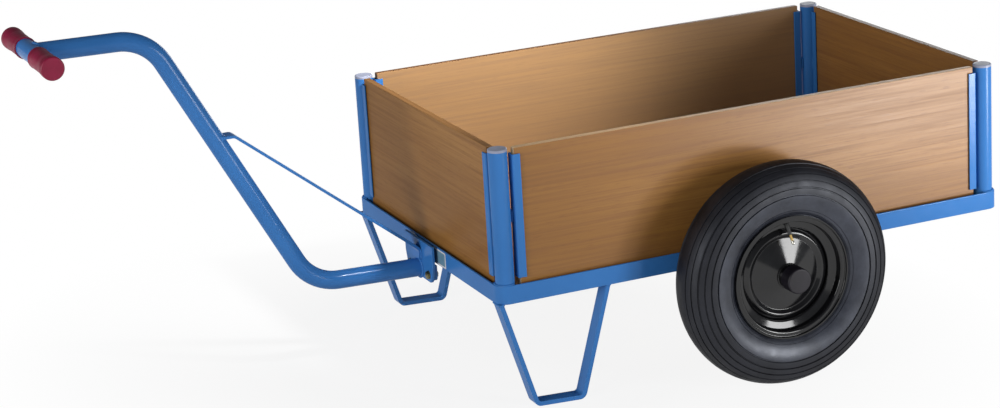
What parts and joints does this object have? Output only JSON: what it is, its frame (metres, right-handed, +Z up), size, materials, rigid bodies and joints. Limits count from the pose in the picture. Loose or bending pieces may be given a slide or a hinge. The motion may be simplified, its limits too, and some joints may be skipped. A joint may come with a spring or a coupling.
{
  "type": "two-wheeled handcart",
  "caption": "Flat-bed handcart with lift-out wooden walls on a blue angle-steel frame, air tyres, leg loops to park on, and a bent tube drawbar with a cross handle.",
  "frame": {"origin": "on the floor under the middle of the parked cart's bounding box", "axes": "+X forward to the handle, +Y to the cart's left, +Z up"},
  "size_m": [1.7324, 0.93, 0.6639],
  "materials": {
    "blue_paint": "semi-gloss powder coat",
    "beech_board": "clear-coated beech veneer",
    "grey_plug": "satin",
    "red_grip": "soft gloss",
    "tyre_rubber": "matt rubber",
    "black_rim": "gloss black lacquer",
    "black_cap": "satin",
    "brass_valve": "plain"
  },
  "bodies": {
    "chassis": {"deck_frame": "blue_paint", "floor_brace_front": "blue_paint", "floor_brace_rear": "blue_paint", "axle": "blue_paint", "leg_left": "blue_paint", "leg_right": "blue_paint", "front_bracket": "blue_paint", "drawbar_flange": "blue_paint", "drawbar": "blue_paint", "stay": "blue_paint", "handle_tube": "blue_paint", "post_front_left": "blue_paint", "post_front_right": "blue_paint", "post_rear_left": "blue_paint", "post_rear_right": "blue_paint", "board_channel_front_left_side": "blue_paint", "board_channel_front_left_end": "blue_paint", "board_channel_front_right_side": "blue_paint", "board_channel_front_right_end": "blue_paint", "board_channel_rear_left_side": "blue_paint", "board_channel_rear_left_end": "blue_paint", "board_channel_rear_right_side": "blue_paint", "board_channel_rear_right_end": "blue_paint", "floor_board": "beech_board", "post_cap_front_left": "grey_plug", "post_cap_front_right": "grey_plug", "post_cap_rear_left": "grey_plug", "post_cap_rear_right": "grey_plug", "grip_left": "red_grip", "grip_right": "red_grip"},
    "left_wheel": {"tyre_left": "tyre_rubber", "rim_left": "black_rim", "hub_left": "black_rim", "hub_cap_left": "black_cap", "valve_left": "brass_valve"},
    "right_wheel": {"tyre_right": "tyre_rubber", "rim_right": "black_rim", "hub_right": "black_rim", "hub_cap_right": "black_cap", "valve_right": "brass_valve"},
    "left_wall": {"side_board_left": "beech_board"},
    "right_wall": {"side_board_right": "beech_board"},
    "front_wall": {"end_board_front": "beech_board"},
    "rear_wall": {"end_board_rear": "beech_board"}
  },
  "joints": [
    {"name": "left_wheel_spin", "type": "hinge", "parent": "chassis", "child": "left_wheel", "pos_m": [-0.36952, 0.401, 0.203], "axis": [0, 1, 0], "continuous": true},
    {"name": "right_wheel_spin", "type": "hinge", "parent": "chassis", "child": "right_wheel", "pos_m": [-0.36952, -0.401, 0.203], "axis": [0, 1, 0], "continuous": true},
    {"name": "left_wall_lift", "type": "slide", "parent": "chassis", "child": "left_wall", "axis": [0.0481, 0, 0.9988], "range_m": [0, 0.26]},
    {"name": "right_wall_lift", "type": "slide", "parent": "chassis", "child": "right_wall", "axis": [0.0481, 0, 0.9988], "range_m": [0, 0.26]},
    {"name": "front_wall_lift", "type": "slide", "parent": "chassis", "child": "front_wall", "axis": [0.0481, 0, 0.9988], "range_m": [0, 0.26]},
    {"name": "rear_wall_lift", "type": "slide", "parent": "chassis", "child": "rear_wall", "axis": [0.0481, 0, 0.9988], "range_m": [0, 0.26]}
  ]
}
